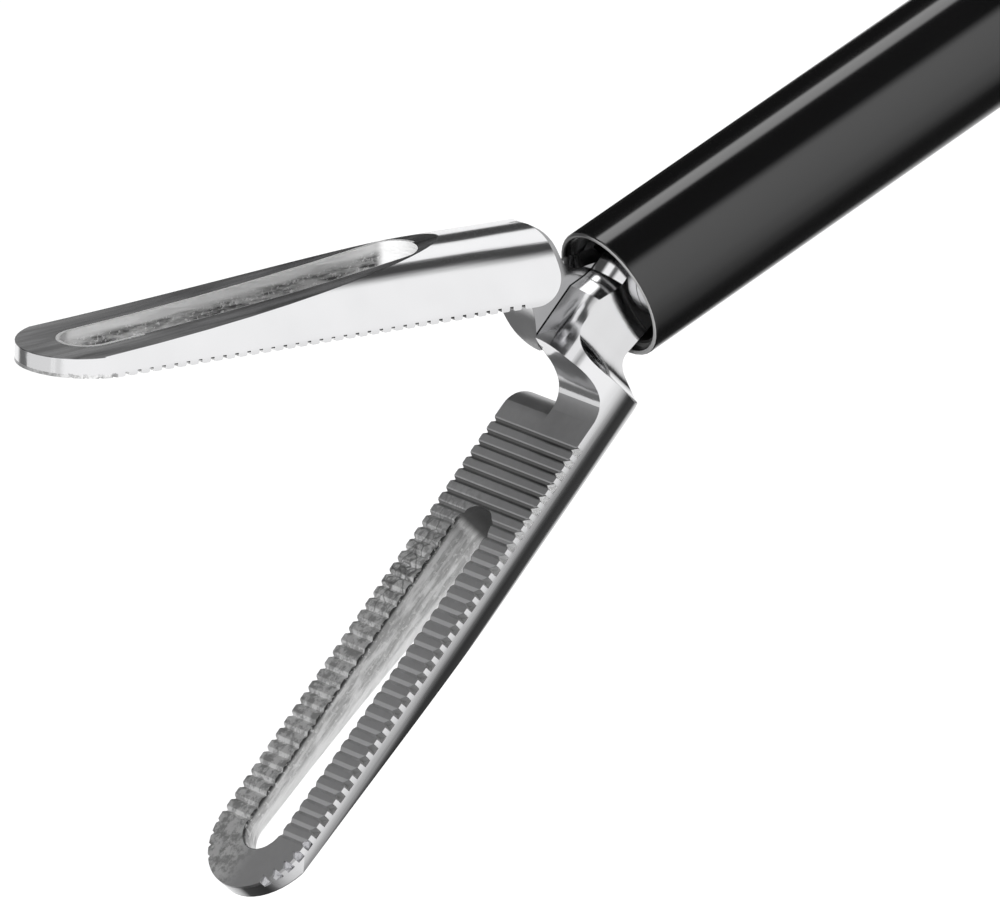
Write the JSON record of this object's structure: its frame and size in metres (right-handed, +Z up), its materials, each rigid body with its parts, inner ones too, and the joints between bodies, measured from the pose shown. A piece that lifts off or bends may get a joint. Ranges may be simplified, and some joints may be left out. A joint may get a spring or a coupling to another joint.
{
  "type": "laparoscopic grasper",
  "caption": "Slim insulated shaft with toothed, slotted jaws that open and close together when the thumb lever of its ring handle is squeezed.",
  "frame": {"origin": "centre of the insulated shaft's distal mouth, on the shaft's axis", "axes": "+X along the shaft to the jaw tips, +Z up, to the upper jaw and the handle's electrode post, +Y to the side; the handle is at -X with its rings hanging to -Z"},
  "size_m": [0.4584, 0.024, 0.138],
  "materials": {
    "polished_steel": "ground and polished stainless steel",
    "bright_steel": "drawn stainless steel",
    "black_insulation": "glossy black shrunk polymer sleeve",
    "black_plastic": "fine-grained black moulded plastic",
    "grey_plastic": "satin grey moulded plastic",
    "white_liner": "low-friction white polymer",
    "seal_rubber": "soft silicone",
    "brass": "turned brass"
  },
  "bodies": {
    "handle": {"handle_right": "black_plastic", "handle_left": "black_plastic", "shell_screws": "bright_steel", "lever_axle": "bright_steel", "finger_ring_liner": "seal_rubber", "contact_block": "brass", "electrode_post": "bright_steel", "post_gland": "grey_plastic", "button_spring": "bright_steel"},
    "lever": {"thumb_lever": "black_plastic", "thumb_ring_liner": "seal_rubber"},
    "shaft": {"bearing_hub": "bright_steel", "rotation_knob": "grey_plastic", "nose_cap": "black_plastic", "port_cap": "seal_rubber", "shaft_tube": "bright_steel", "insulation_sleeve": "black_insulation", "rod_liner": "white_liner", "rod_seal": "seal_rubber", "jaw_clevis": "bright_steel", "jaw_pivot_pin": "bright_steel"},
    "rod": {"push_rod": "bright_steel", "rod_blade": "bright_steel", "rod_ball": "bright_steel", "drive_pin": "bright_steel"},
    "upper": {"upper_jaw": "polished_steel"},
    "lower": {"lower_jaw": "polished_steel"},
    "button": {"release_button": "grey_plastic"}
  },
  "joints": [
    {"name": "lever_hinge", "type": "hinge", "parent": "handle", "child": "lever", "pos_m": [-0.381, 0, -0.00535], "axis": [0, -1, 0], "range_deg": [0, 15]},
    {"name": "shaft_spin", "type": "hinge", "parent": "handle", "child": "shaft", "pos_m": [-0.36, 0, 0], "axis": [1, 0, 0], "continuous": true},
    {"name": "rod_slide", "type": "slide", "parent": "shaft", "child": "rod", "axis": [-1, 0, 0], "range_m": [0, 0.0014]},
    {"name": "upper_jaw_hinge", "type": "hinge", "parent": "shaft", "child": "upper", "pos_m": [-0.00198, 0, 0], "axis": [0, 1, 0], "range_deg": [0, 24]},
    {"name": "lower_jaw_hinge", "type": "hinge", "parent": "shaft", "child": "lower", "pos_m": [-0.00198, 0, 0], "axis": [0, -1, 0], "range_deg": [0, 24]},
    {"name": "button_press", "type": "slide", "parent": "handle", "child": "button", "axis": [0, 0, -1], "range_m": [0, 0.002], "stiffness_N_per_m": 400, "springref_m": -0.002, "deforming": ["button_spring"]}
  ],
  "couplings": [
    {"joint": "rod_slide", "follows": "lever_hinge", "m_per_rad": 0.0053476},
    {"joint": "upper_jaw_hinge", "follows": "lever_hinge", "ratio": 1.6},
    {"joint": "lower_jaw_hinge", "follows": "lever_hinge", "ratio": 1.6}
  ]
}
